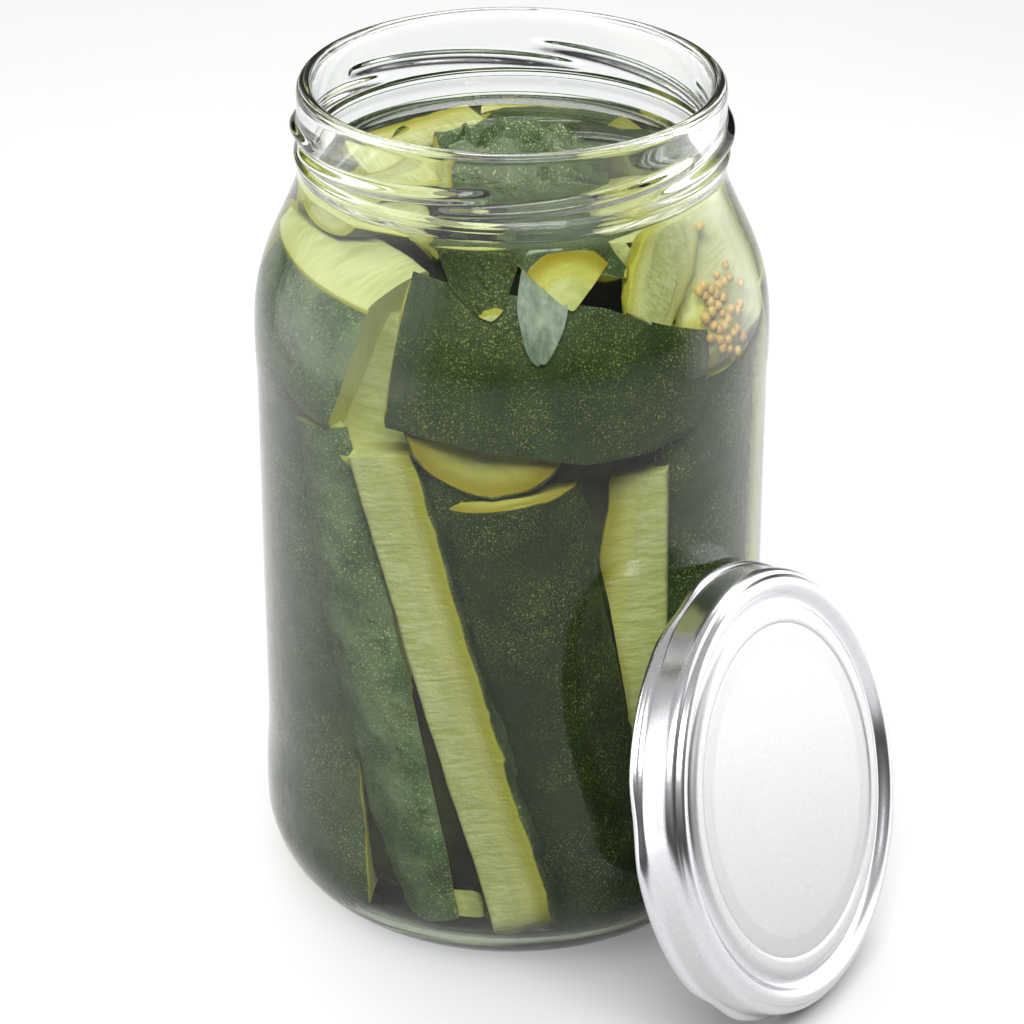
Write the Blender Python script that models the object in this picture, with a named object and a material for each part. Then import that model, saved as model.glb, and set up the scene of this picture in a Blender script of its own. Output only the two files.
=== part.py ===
"""Preserving jar for a twist-off lid, filled with cut pickled cucumbers, with its lid leaning on it.

Lengths below are in millimetres and become metres in the meshes. Bearings are in degrees round the
jar's axis, from the front (-Y) towards the right (+X). The jar's axis is x = y = 0 while the pieces
are shaped; at the end everything moves together so that the origin is under the middle of the whole.
"""
import math
import random

import bmesh
import bpy
from mathutils import Matrix, Vector

MM = 0.001
GAP = 0.3                       # between pieces that touch

# Jar, outside
JAR_HEIGHT = 167.0
JAR_SIDES = 64
FOOT_INNER_R = 31.0
FOOT_OUTER_R = 34.2
PUSH_UP = 2.0
HEEL_R = 49.3
HEEL_HEIGHT = 18.0
HEEL_TOP_Z = 25.0
PANEL_R = 48.65
PANEL_LOW_Z = 33.0
PANEL_HIGH_Z = 110.0
SHOULDER_R = 48.9
SHOULDER_Z = 115.0
SHOULDER_SLOPE = 1.48
NECK_R = 39.7
NECK_Z = 151.5
BEAD_R = 40.5
BEAD_Z = 153.4
LIP_DROP = 1.5

# Jar, inside
WALL = 2.8
NECK_BORE_R = 36.6
FLOOR_Z = 5.0
FLOOR_DOME = 1.2
INNER_HEEL_R = 31.0
INNER_HEEL_HEIGHT = 17.0

# Thread of six short starts
THREAD_STARTS = 6
THREAD_FIRST = -20.5
THREAD_SWEEP = 75.2
THREAD_LOW = JAR_HEIGHT - 11.7
THREAD_HIGH = JAR_HEIGHT - 7.7
THREAD_RELIEF = 1.55
THREAD_HALF_WIDTH = 1.75

# Lid
LID_SIDES = 60
LID_HEIGHT = 10.0
LID_SHEET = 0.5
LID_PANEL_R = 35.6
LID_BEAD_R = 39.2
LID_SKIRT_R = 42.2
LID_CURL_R = 43.2
LID_LUGS = 6
LID_LUG_REACH = 1.7
LID_LUG_HALF_ANGLE = 13.0
LID_LEAN = 17.0                 # back from upright
LID_BEARING = 45.0              # where it stands
LID_FACING = 60.0               # where its face looks
LID_ROLL = 12.0

# Contents
BRINE_Z = 149.5
SUNK_Z = 148.3                  # what is under the brine stays below this
CONTENTS_GAP = 0.45             # between the contents and the glass
INSET_STEP = 0.11               # pieces lie a little apart from each other's pressed faces
INSET_STEPS = 8
MERGE = 1.0                     # points of a piece nearer than this become one
CORE_SIDES = 20
CORE_MARGIN = 11.0
SEED_R = 1.0
SEED_STRETCH = 2.4
RANDOM_SEED = 7


def place(bearing, z, r):
    """A point by its bearing, height and distance from the jar's axis."""
    a = math.radians(bearing)
    return Vector((r * math.sin(a), -r * math.cos(a), z))


def shoulder_r(z):
    """Outer radius between the body and the neck: round at the top of the body, hollow at the neck."""
    u = min(max((z - SHOULDER_Z) / (NECK_Z - SHOULDER_Z), 0), 1)
    return NECK_R + (SHOULDER_R - NECK_R) * (1 + math.cos(math.pi * u ** SHOULDER_SLOPE)) / 2


def outer_r(z):
    """Outer radius of the jar's body at a height."""
    if z < HEEL_HEIGHT:
        u = 1 - max(z, 0) / HEEL_HEIGHT
        return FOOT_OUTER_R + (HEEL_R - FOOT_OUTER_R) * math.sqrt(1 - u * u)
    if z < HEEL_TOP_Z:
        return HEEL_R
    if z < PANEL_LOW_Z:
        return HEEL_R + (PANEL_R - HEEL_R) * (z - HEEL_TOP_Z) / (PANEL_LOW_Z - HEEL_TOP_Z)
    if z < PANEL_HIGH_Z:
        return PANEL_R
    if z < SHOULDER_Z:
        return PANEL_R + (SHOULDER_R - PANEL_R) * (z - PANEL_HIGH_Z) / (SHOULDER_Z - PANEL_HIGH_Z)
    return shoulder_r(z)


def inner_r(z):
    """Inner radius of the jar at a height."""
    top = FLOOR_Z + INNER_HEEL_HEIGHT
    if z < top:
        u = (top - max(z, FLOOR_Z)) / INNER_HEEL_HEIGHT
        return INNER_HEEL_R + (PANEL_R - WALL - INNER_HEEL_R) * math.sqrt(1 - u * u)
    if z < SHOULDER_Z:
        return PANEL_R - WALL
    return max(shoulder_r(z) - WALL - 0.25, NECK_BORE_R)


def ellipse_arc(r0, z0, r1, z1, steps):
    """Points after (r0, z0) on a quarter ellipse that starts flat and ends upright at (r1, z1)."""
    turn = [math.pi / 2 * i / steps for i in range(1, steps + 1)]
    return [(r0 + (r1 - r0) * math.sin(t), z0 + (z1 - z0) * (1 - math.cos(t))) for t in turn]


def thread_relief(bearing, z):
    """How far the thread stands out: six lens-shaped ridges, each rising towards the right."""
    relief = 0.0
    for start in range(THREAD_STARTS):
        first = THREAD_FIRST + start * 360 / THREAD_STARTS
        s = ((bearing - first) % 360) / THREAD_SWEEP
        if s >= 1:
            continue
        centre = THREAD_LOW + (THREAD_HIGH - THREAD_LOW) * s
        off = (z - centre) / THREAD_HALF_WIDTH
        if abs(off) < 1:
            fade = math.sqrt(math.sin(math.pi * s))
            relief = max(relief, THREAD_RELIEF * fade * math.cos(math.pi / 2 * off) ** 2)
    return relief


def new_object(name, mesh_data, material=None):
    """Wraps a bmesh in an object of the scene."""
    mesh = bpy.data.meshes.new(name)
    bmesh.ops.recalc_face_normals(mesh_data, faces=mesh_data.faces)
    mesh_data.to_mesh(mesh)
    mesh_data.free()
    obj = bpy.data.objects.new(name, mesh)
    bpy.context.scene.collection.objects.link(obj)
    if material:
        mesh.materials.append(material)
        mesh.shade_smooth()
        mesh.set_sharp_from_angle(angle=math.radians(32))
    return obj


def turned(name, profile, sides, material, relief=None):
    """A closed turned body. The profile starts and ends on the axis; relief(i, bearing) moves radii."""
    bm = bmesh.new()
    rings = []
    for i, (r, z) in enumerate(profile):
        if r == 0:
            rings.append([bm.verts.new((0, 0, z * MM))])
            continue
        ring = []
        for k in range(sides):
            bearing = 360 * k / sides
            radius = r + (relief(i, bearing) if relief else 0)
            ring.append(bm.verts.new(place(bearing, z, radius) * MM))
        rings.append(ring)
    for low, high in zip(rings, rings[1:]):
        for k in range(sides):
            j = (k + 1) % sides
            corners = [low[k % len(low)], low[j % len(low)], high[j % len(high)], high[k % len(high)]]
            bm.faces.new(list(dict.fromkeys(corners)))
    return new_object(name, bm, material)


def principled(name, colour, roughness, metallic=0.0, transmission=0.0):
    material = bpy.data.materials.new(name)
    material.use_nodes = True
    shader = material.node_tree.nodes["Principled BSDF"]
    shader.inputs["Base Color"].default_value = (*colour, 1)
    shader.inputs["Roughness"].default_value = roughness
    shader.inputs["Metallic"].default_value = metallic
    shader.inputs["Transmission Weight"].default_value = transmission
    return material


# Jar


def jar_profile():
    """Outline of the glass, from the middle of the base, up the outside, over the lip and down inside."""
    outside = [(0, PUSH_UP), (24, PUSH_UP * 0.85), (FOOT_INNER_R - 1.5, 0.5), (FOOT_INNER_R, 0)]
    outside.append((FOOT_OUTER_R, 0))
    outside += ellipse_arc(FOOT_OUTER_R, 0, HEEL_R, HEEL_HEIGHT, 7)
    outside += [(HEEL_R, HEEL_TOP_Z), (PANEL_R, PANEL_LOW_Z), (PANEL_R, PANEL_HIGH_Z)]
    shoulder_steps = 9
    for i in range(shoulder_steps + 1):
        z = SHOULDER_Z + (NECK_Z - 0.9 - SHOULDER_Z) * i / shoulder_steps
        outside.append((shoulder_r(z), z))
    outside += [(BEAD_R - 0.25, BEAD_Z - 1.2), (BEAD_R, BEAD_Z - 0.3), (BEAD_R - 0.25, BEAD_Z + 0.6)]
    steps = 9
    low = BEAD_Z + 1.2
    high = JAR_HEIGHT - 5.6
    thread = [(NECK_R, low + (high - low) * i / steps) for i in range(steps + 1)]
    lip = [(NECK_R, JAR_HEIGHT - LIP_DROP), (NECK_R - 0.55, JAR_HEIGHT - 0.45)]
    lip += [(NECK_R - 1.5, JAR_HEIGHT), (NECK_BORE_R + 0.5, JAR_HEIGHT - 0.45)]
    inside = [(NECK_BORE_R, JAR_HEIGHT - LIP_DROP), (NECK_BORE_R, NECK_Z)]
    inner_steps = 6
    for i in range(1, inner_steps + 1):
        z = NECK_Z - 3.5 + (SHOULDER_Z - NECK_Z + 3.5) * i / inner_steps
        inside.append((inner_r(z), z))
    heel = ellipse_arc(INNER_HEEL_R, FLOOR_Z, PANEL_R - WALL, FLOOR_Z + INNER_HEEL_HEIGHT, 5)
    inside += reversed(heel)
    inside += [(INNER_HEEL_R, FLOOR_Z), (0, FLOOR_Z + FLOOR_DOME)]
    profile = outside + thread + lip + inside
    threaded = range(len(outside), len(outside) + len(thread))
    return profile, threaded


def make_jar():
    profile, threaded = jar_profile()
    glass = principled("clear_glass", (0.86, 0.92, 0.88), 0.03, transmission=1.0)

    def relief(i, bearing):
        return thread_relief(bearing, profile[i][1]) if i in threaded else 0
    return turned("jar", profile, JAR_SIDES, glass, relief)


# Lid


def lid_profile():
    """Outline of the lid's sheet: outside from the middle to the curl, then back along the inside."""
    top = LID_HEIGHT
    panel_z = top - 1.1
    outside = [(0, panel_z), (LID_PANEL_R - 5.2, panel_z), (LID_PANEL_R - 4.2, panel_z + 0.25)]
    outside += [(LID_PANEL_R - 1.2, panel_z + 0.25), (LID_PANEL_R, panel_z - 0.5)]
    outside += [(LID_BEAD_R - 1.9, top - 0.5), (LID_BEAD_R, top), (LID_BEAD_R + 1.6, top - 0.6)]
    outside += [(LID_SKIRT_R - 0.5, top - 2.2), (LID_SKIRT_R, top - 4.0), (LID_SKIRT_R, 2.4)]
    curl = [(LID_CURL_R, 1.7), (LID_CURL_R, 0.7), (LID_CURL_R - 0.8, 0), (LID_SKIRT_R - 1.2, 0.3)]
    curl.append((LID_SKIRT_R - 1.1, 1.6))
    inner_r_skirt = LID_SKIRT_R - LID_SHEET
    inside = [(inner_r_skirt, 2.8), (inner_r_skirt, top - 3.6), (LID_BEAD_R + 0.9, top - 1.6)]
    compound_z = panel_z - LID_SHEET - 1.0
    inside += [(LID_BEAD_R + 0.3, compound_z), (LID_PANEL_R + 0.6, compound_z)]
    inside += [(LID_PANEL_R - 0.6, panel_z - 1.05), (LID_PANEL_R - 4.6, panel_z - LID_SHEET)]
    inside.append((0, panel_z - LID_SHEET))
    curled = range(len(outside) - 1, len(outside) + len(curl) + 1)
    lugged = range(len(outside) + len(curl) - 2, len(outside) + len(curl))
    return outside + curl + inside, curled, lugged


def lug(bearing):
    """One at the middle of each lug, falling smoothly to nothing beside it."""
    step = 360 / LID_LUGS
    off = (bearing + step / 2) % step - step / 2
    if abs(off) > LID_LUG_HALF_ANGLE:
        return 0
    return math.cos(math.pi / 2 * off / LID_LUG_HALF_ANGLE) ** 2


def lid_turn():
    """Rotation that stands the lid on edge, facing LID_FACING and leaning back by LID_LEAN."""
    roll = Matrix.Rotation(math.radians(LID_ROLL), 4, "Z")
    upright = Matrix.Rotation(math.radians(90 - LID_LEAN), 4, "X")
    return Matrix.Rotation(math.radians(LID_FACING), 4, "Z") @ upright @ roll


def lean(obj):
    """Stands the lid on the floor and moves it along LID_BEARING until it meets the jar."""
    obj.data.transform(lid_turn())
    points = [v.co / MM for v in obj.data.vertices]
    drop = min(p.z for p in points)
    outward = place(LID_BEARING, 0, 1)

    def clearance(distance):
        spots = [p + outward * distance for p in points]
        return min(math.hypot(s.x, s.y) - outer_r(s.z - drop) for s in spots)
    near = HEEL_R
    far = HEEL_R + 2 * LID_SKIRT_R
    for _ in range(40):
        middle = (near + far) / 2
        if clearance(middle) < GAP + 0.1:
            near = middle
        else:
            far = middle
    obj.data.transform(Matrix.Translation((outward * far + Vector((0, 0, -drop))) * MM))


def make_lid():
    profile, curled, lugged = lid_profile()
    steel = principled("brushed_steel", (0.72, 0.72, 0.73), 0.32, metallic=1.0)

    def relief(i, bearing):
        if i in lugged:
            return -LID_LUG_REACH * lug(bearing)
        return -0.45 * lug(bearing) if i in curled else 0
    lid = turned("lid", profile, LID_SIDES, steel, relief)
    lean(lid)
    return lid


# Contents


def press(point, inset=0.0, ceiling=SUNK_Z):
    """Keeps a point of the contents inside the glass and under the brine, as a pressed piece lies."""
    p = point.copy()
    p.z = min(max(p.z, FLOOR_Z + FLOOR_DOME + CONTENTS_GAP + inset), ceiling - inset)
    reach = inner_r(p.z) - CONTENTS_GAP - inset
    r = math.hypot(p.x, p.y)
    if r > reach:
        p.x *= reach / r
        p.y *= reach / r
    return p


def loft(name, rings):
    """A closed body through rings of points in millimetres, with flat ends."""
    bm = bmesh.new()
    made = [[bm.verts.new(p * MM) for p in ring] for ring in rings]
    count = len(made[0])
    for low, high in zip(made, made[1:]):
        for k in range(count):
            j = (k + 1) % count
            bm.faces.new((low[k], low[j], high[j], high[k]))
    bm.faces.new(made[0][::-1])
    bm.faces.new(made[-1])
    bmesh.ops.triangulate(bm, faces=bm.faces)
    return new_object(name, bm)


def hull(name, points):
    """The closed body stretched tightly round points in millimetres."""
    bm = bmesh.new()
    for p in points:
        bm.verts.new(p * MM)
    bmesh.ops.remove_doubles(bm, verts=bm.verts, dist=MERGE * MM)
    bmesh.ops.convex_hull(bm, input=bm.verts)
    inner = [v for v in bm.verts if not v.link_faces]
    bmesh.ops.delete(bm, geom=inner, context="VERTS")
    return new_object(name, bm)


def cut_piece(name, start, end, skin, radius, half_angle=45, core=0.0, bow=0.0, tips=(1, 1), arc=5,
              rings=6, ceiling=SUNK_Z):
    """A lengthwise cut of a cucumber, from start to end.

    skin is the direction in which its skin looks. half_angle is half of the skin's arc: 45 for a
    quarter, 90 for a half. core is the place of the inner edge, from the cucumber's own axis.
    bow bends it towards the skin, and tips are the sizes of its two ends.
    """
    along = (end - start).normalized()
    face = (skin - along * skin.dot(along)).normalized()
    side = along.cross(face)
    section = []
    for i in range(arc + 1):
        a = math.radians(half_angle * (2 * i / arc - 1))
        section.append((radius * math.sin(a), radius * math.cos(a)))
    if half_angle < 80:
        section.append((0.0, core))
    inset = INSET_STEP * (len(bpy.data.objects) % INSET_STEPS)
    points = []
    for k in range(rings):
        t = k / (rings - 1)
        centre = start.lerp(end, t) + face * bow * 4 * t * (1 - t)
        size = tips[0] + (1 - tips[0]) * min(1, 3 * t) if t < 0.5 else 1 - (1 - tips[1]) * max(0, 3 * t - 2)
        points += [press(centre + (side * x + face * y) * size, inset, ceiling) for x, y in section]
    return hull(name, points)


def outward(bearing, up=0.0):
    """Direction away from the jar's axis at a bearing, raised by up."""
    return Vector((place(bearing, 0, 1).x, place(bearing, 0, 1).y, up)).normalized()


def front_spears():
    """The upright spears of the lower half that show in front, each leaning to the right."""
    made = []

    def spear(name, top, foot, skin, radius, **shape):
        made.append(cut_piece(name, place(*foot), place(*top), outward(*skin), radius, **shape))
    spear("spear_far_left", (-82, 114, 26), (-56, 8, 25), (-70,), 17, half_angle=55)
    spear("spear_speckled", (-55, 110, 35), (-21, 8, 29), (-45,), 10.5, half_angle=55, tips=(0.7, 0.75))
    spear("spear_shaded", (-36, 106, 38), (-9, 8, 33), (200,), 11, half_angle=50)
    spear("spear_bright", (-43, 110, 43.5), (-5, 7, 38.5), (113,), 12.5)
    spear("spear_behind", (-21, 108, 27.5), (11, 8, 25), (2,), 12, half_angle=62)
    spear("spear_dark", (-2, 102, 31), (32, 8, 27), (12,), 14, half_angle=60)
    spear("spear_cut_face", (40, 103, 41.5), (47, 12, 37), (-130,), 15, tips=(1, 0.7))
    spear("spear_right", (61, 119, 28), (64, 8, 26), (57,), 15, half_angle=60)
    spear("spear_edge", (80, 128, 34), (76, 9, 30), (165,), 14, half_angle=85)
    return made


def back_spears(draw):
    """The spears round the back of the lower half."""
    made = []
    count = 6
    for i in range(count):
        bearing = 108 + i * 30 + draw.uniform(-4, 4)
        lean_by = draw.uniform(8, 22)
        top = place(bearing - lean_by / 2, draw.uniform(100, 112), 28)
        foot = place(bearing + lean_by / 2, 8, 26)
        turn = bearing + draw.choice((0, 0, 70, -70))
        made.append(cut_piece(f"spear_back_{i + 1}", foot, top, outward(turn), draw.uniform(16, 19), 58))
    return made


def upper_pieces():
    """The halves, chunks and wedges laid across the top that show in front."""
    made = []

    def piece(name, start, end, skin, radius, **shape):
        made.append(cut_piece(name, place(*start), place(*end), outward(*skin), radius, **shape))
    piece("chunk_left", (-135, 137.5, 34), (-25.5, 135.5, 24), (-73, -1), 34, arc=8)
    piece("chunk_under", (-39, 129, 30), (-36, 108, 35), (142, 0), 12, half_angle=88, arc=6)
    piece("slab_front", (-55, 126.5, 31), (69, 116, 35), (11, 0.1), 25, half_angle=36, core=18, bow=10,
          arc=8, tips=(1, 0.65))
    piece("slice_low", (-8, 118, 20), (-8, 117, 41.8), (-8, -6), 15.5, half_angle=88, arc=7)
    piece("wedge_front", (15, 141, 12), (15, 137, 41.5), (8, 9), 11.5, half_angle=50)
    piece("leaf_dark", (-12, 147, 30), (-5, 136, 41), (-6, 0.4), 9, half_angle=52, tips=(1, 0.3))
    piece("leaf_right", (6, 146, 37), (31, 141, 40), (20, 1.5), 6, half_angle=52, tips=(0.6, 0.25))
    piece("spear_pale", (58, 147, 34), (36, 132, 41.5), (220, 0.1), 7.5, half_angle=88, tips=(0.8, 0.75))
    piece("chunk_right", (64, 148, 32), (70, 122, 42), (235, 0.1), 14, half_angle=88, arc=6, tips=(1, 0.75))
    piece("knob_right", (52, 131, 40), (66, 120, 39), (60, -0.2), 7, half_angle=100, tips=(0.5, 0.5))
    return made


def back_pieces(draw):
    """The chunks laid round the back of the upper half."""
    made = []
    count = 4
    for i in range(count):
        bearing = 118 + i * 40 + draw.uniform(-6, 6)
        z = draw.uniform(124, 134)
        start = place(bearing - 26, z + draw.uniform(-3, 5), 27)
        end = place(bearing + 26, z + draw.uniform(-5, 3), 27)
        skin = outward(bearing, draw.uniform(-0.8, 0.4))
        made.append(cut_piece(f"chunk_back_{i + 1}", start, end, skin, draw.uniform(17, 20), 85, arc=7))
    return made


def top_pieces():
    """What shows through the mouth: one chunk above the brine and pieces just under it."""
    made = []

    def piece(name, start, end, skin, radius, **shape):
        made.append(cut_piece(name, Vector(start), Vector(end), Vector(skin), radius, **shape))
    piece("chunk_top", (-14, 2, 142), (15, 10, 137.5), (-0.1, -0.15, 1), 14, half_angle=110, arc=8,
          tips=(0.75, 0.7), ceiling=JAR_HEIGHT)
    piece("top_back_left", (-29, 8, 144), (-4, 28, 143), (-0.3, 0.5, -0.8), 9, half_angle=80)
    piece("top_back", (-6, 31, 143), (14, 31, 143), (0.1, 0.4, -1), 8, half_angle=80)
    piece("top_back_right", (10, 22, 143), (31, 3, 143), (0.5, 0.5, 1), 8, half_angle=70)
    piece("top_right_front", (22, 4, 143), (14, -20, 144), (0.4, -0.3, -1), 9, half_angle=75)
    piece("top_left", (-28, -4, 144), (-12, 10, 143), (-0.2, -0.2, -1), 7, half_angle=70)
    return made


def flap():
    """The thin sheet of peel that hangs in front of the slab."""
    columns = 4
    rows = 6
    front = []
    for i in range(rows):
        t = i / (rows - 1)
        for j in range(columns):
            s = j / (columns - 1) - 0.5
            width = 13 * math.sin(math.pi * (0.14 + 0.82 * t)) ** 0.6
            bearing = 9.5 - 3 * t + s * width
            z = 150 - 21 * t
            wave = 0.2 * math.sin(3.1 * t + 4 * s)
            front.append(place(bearing, z, min(45.2 + wave, inner_r(z) - 0.8)))
    bm = bmesh.new()
    outer = [bm.verts.new(press(p) * MM) for p in front]
    inner = [bm.verts.new((press(p) - outward(8) * 5.0) * MM) for p in front]
    for grid, turn in ((outer, 1), (inner, -1)):
        for i in range(rows - 1):
            for j in range(columns - 1):
                a = i * columns + j
                bm.faces.new([grid[a], grid[a + 1], grid[a + columns + 1], grid[a + columns]][::turn])
    edge = list(range(columns)) + [i * columns + columns - 1 for i in range(1, rows)]
    edge += [(rows - 1) * columns + j for j in range(columns - 2, -1, -1)]
    edge += [i * columns for i in range(rows - 2, 0, -1)]
    for a, b in zip(edge, edge[1:] + edge[:1]):
        bm.faces.new((outer[b], outer[a], inner[a], inner[b]))
    bmesh.ops.triangulate(bm, faces=bm.faces)
    return new_object("flap", bm)


def seeds(draw):
    """Mustard seeds caught on the pale pieces at the right, drawn out inwards until they meet them."""
    made = []
    count = 24
    for i in range(count):
        bearing = draw.gauss(58, 3.0)
        z = draw.gauss(129, 3.0)
        depth = CONTENTS_GAP + 0.2 + SEED_R * SEED_STRETCH
        size = SEED_R * MM * draw.uniform(0.85, 1.0)
        bm = bmesh.new()
        bmesh.ops.create_icosphere(bm, subdivisions=1, radius=size)
        bmesh.ops.scale(bm, verts=bm.verts, vec=(1, SEED_STRETCH, 1))
        bmesh.ops.rotate(bm, verts=bm.verts, matrix=Matrix.Rotation(math.radians(bearing), 3, "Z"))
        bmesh.ops.translate(bm, verts=bm.verts, vec=place(bearing, z, inner_r(z) - depth) * MM)
        made.append(new_object(f"seed_{i + 1}", bm))
    return made


def core_body():
    """The inner core that the pieces are fused to."""
    rings = []
    outline = [(inner_r(z) - CORE_MARGIN, z) for z in (8, 22, 60, 105)] + [(30, 116), (22, 130), (16, 142)]
    for r, z in outline:
        rings.append([place(360 * k / CORE_SIDES, z, r) for k in range(CORE_SIDES)])
    return loft("pickles", rings)


def largest_body(obj):
    """Drops loose scraps and fills sealed hollows by keeping only the largest connected surface."""
    bm = bmesh.new()
    bm.from_mesh(obj.data)
    bmesh.ops.remove_doubles(bm, verts=bm.verts, dist=0.00001)
    left = set(bm.faces)
    bodies = []
    while left:
        body = set()
        todo = [left.pop()]
        while todo:
            face = todo.pop()
            body.add(face)
            for edge in face.edges:
                for other in edge.link_faces if len(edge.link_faces) == 2 else ():
                    if other in left:
                        left.remove(other)
                        todo.append(other)
        bodies.append(body)
    bodies.sort(key=len, reverse=True)
    for body in bodies[1:]:
        bmesh.ops.delete(bm, geom=list(body), context="FACES")
    loose = [v for v in bm.verts if not v.link_faces]
    bmesh.ops.delete(bm, geom=loose, context="VERTS")
    bmesh.ops.triangulate(bm, faces=bm.faces)
    bm.to_mesh(obj.data)
    bm.free()


def fuse(core, pieces):
    """Joins the pieces to the core with one Boolean union."""
    heap = bpy.data.collections.new("heap")
    bpy.context.scene.collection.children.link(heap)
    for piece in pieces:
        heap.objects.link(piece)
        bpy.context.scene.collection.objects.unlink(piece)
    union = core.modifiers.new("union", "BOOLEAN")
    union.operation = "UNION"
    union.operand_type = "COLLECTION"
    union.collection = heap
    union.solver = "EXACT"
    depsgraph = bpy.context.evaluated_depsgraph_get()
    joined = bpy.data.meshes.new_from_object(core.evaluated_get(depsgraph))
    core.modifiers.clear()
    core.data = joined
    for piece in pieces:
        bpy.data.objects.remove(piece)
    bpy.data.collections.remove(heap)
    largest_body(core)


def make_pickles():
    draw = random.Random(RANDOM_SEED)
    core = core_body()
    pieces = front_spears() + back_spears(draw) + upper_pieces() + back_pieces(draw)
    pieces += top_pieces() + [flap()] + seeds(draw)
    fuse(core, pieces)
    core.data.materials.clear()
    core.data.materials.append(principled("cucumber", (0.09, 0.14, 0.03), 0.45))
    return core


def centre(objects):
    """Moves everything so that the origin is on the floor under the middle of the whole."""
    points = [v.co for obj in objects for v in obj.data.vertices]
    middle_x = (min(p.x for p in points) + max(p.x for p in points)) / 2
    middle_y = (min(p.y for p in points) + max(p.y for p in points)) / 2
    for obj in objects:
        obj.location = (-middle_x, -middle_y, 0)


def main():
    for obj in list(bpy.data.objects):
        bpy.data.objects.remove(obj)
    centre([make_jar(), make_pickles(), make_lid()])


main()
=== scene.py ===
"""Looks of the jar of pickled cucumbers: glass, brine, cut pieces, mustard seeds and the steel lid.

Lengths are in millimetres while a piece is shaped and become metres in its mesh. Bearings are in
degrees round the jar's axis, from the front (-Y) towards the right (+X).
"""
import math
import random

import bmesh
import bpy
import numpy as np
from mathutils import Matrix, Vector, noise


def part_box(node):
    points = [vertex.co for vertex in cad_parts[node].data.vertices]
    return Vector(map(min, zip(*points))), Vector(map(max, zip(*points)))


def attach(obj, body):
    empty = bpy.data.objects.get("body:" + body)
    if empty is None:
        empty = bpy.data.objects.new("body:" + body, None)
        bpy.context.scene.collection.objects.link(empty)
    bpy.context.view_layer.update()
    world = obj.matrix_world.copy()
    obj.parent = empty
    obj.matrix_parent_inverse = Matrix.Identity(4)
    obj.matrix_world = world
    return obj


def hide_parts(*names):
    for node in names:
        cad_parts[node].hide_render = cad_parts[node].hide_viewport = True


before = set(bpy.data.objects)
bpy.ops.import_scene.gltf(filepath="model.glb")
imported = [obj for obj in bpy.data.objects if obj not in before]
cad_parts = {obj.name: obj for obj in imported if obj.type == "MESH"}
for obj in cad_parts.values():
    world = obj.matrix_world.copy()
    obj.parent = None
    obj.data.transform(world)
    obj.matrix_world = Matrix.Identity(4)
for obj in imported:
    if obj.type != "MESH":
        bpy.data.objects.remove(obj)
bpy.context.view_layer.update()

MM = 0.001
LOW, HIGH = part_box("jar")
AXIS = Vector(((LOW[0] + HIGH[0]) / 2, (LOW[1] + HIGH[1]) / 2, 0)) / MM

# Jar, outside
JAR_HEIGHT = (HIGH[2] - LOW[2]) / MM
JAR_SIDES = 384
FOOT_INNER_R = 31.0
FOOT_OUTER_R = 34.2
PUSH_UP = 2.0
HEEL_R = 49.3
HEEL_HEIGHT = 18.0
HEEL_TOP_Z = 25.0
PANEL_R = 48.65
PANEL_LOW_Z = 33.0
PANEL_HIGH_Z = 110.0
SHOULDER_R = 48.9
SHOULDER_Z = 115.0
SHOULDER_SLOPE = 1.48
NECK_R = 39.7
NECK_Z = 151.5
BEAD_R = 40.5
BEAD_Z = 153.4
LIP_DROP = 1.5
KNURLS = 96
KNURL_RELIEF = 0.22
KNURL_LENGTH = 4.9

# Jar, inside
WALL = 2.8
SHOULDER_EXTRA = 0.25           # the shoulder's wall is this much thicker
NECK_BORE_R = 36.6
FLOOR_Z = 5.0
FLOOR_DOME = 1.2
INNER_HEEL_R = 31.0
INNER_HEEL_HEIGHT = 17.0
GLASS_WAVE = 0.16

# How much glass and brine mirror, where dry and where they touch
DRY_GLOSS = 0.5
WET_GLOSS = 0.02
SURFACE_GLOSS = 1.0

# Thread of six short starts
THREAD_STARTS = 6
THREAD_FIRST = -20.5
THREAD_SWEEP = 75.2
THREAD_LOW = JAR_HEIGHT - 11.7
THREAD_HIGH = JAR_HEIGHT - 7.7
THREAD_RELIEF = 1.55
THREAD_HALF_WIDTH = 1.75

# Lid
LID_SIDES = 288
LID_HEIGHT = 10.0
LID_SHEET = 0.5
LID_PANEL_R = 35.6
LID_BEAD_R = 39.2
LID_SKIRT_R = 42.2
LID_CURL_R = 43.2
LID_LUGS = 6
LID_LUG_REACH = 1.7
LID_LUG_HALF_ANGLE = 13.0
LID_DENT = 0.9                  # in the skirt, above each lug
LID_BAND_R = (27.0, 32.0)       # of the faint darker band on the panel
LID_LEAN = 17.0
LID_FACING = 60.0
LID_ROLL = 12.0

# Contents
BRINE_Z = 149.5
BRINE_IN_WALL = 0.15
MENISCUS = 0.7
MENISCUS_FROM_R = 33.5
SUNK_Z = 148.3
CONTENTS_GAP = 0.45
INSET_STEP = 0.11
INSET_STEPS = 8
CORE_MARGIN = 11.0
SOFTNESS = 1.2
BACK_SPEARS = 6
BACK_PIECES = 4
SEED_R = 1.0
SEEDS = 34
SEED_CLUSTERS = (               # bearing, height and spread of each
    (54, 133, 1.2), (57, 127, 1.6), (57, 128, 1.6), (61, 129, 4.0))
RANDOM_SEED = 7
AROUND = 80    # points round a piece
ROW_STEP = 1.6
SKIN_FROM = 0.93                # share of the radius from which a point is on the skin
ARC_STEPS = 24                  # of the skin, before its outline is spaced evenly
CAP_RINGS = 7
SWELL = 1.1                     # unevenness of the pieces, from the slowest to the finest
BULGE = 0.45
WART = 1.3
CUT_GRAIN = 0.3
WORN_END = 0.6

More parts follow.
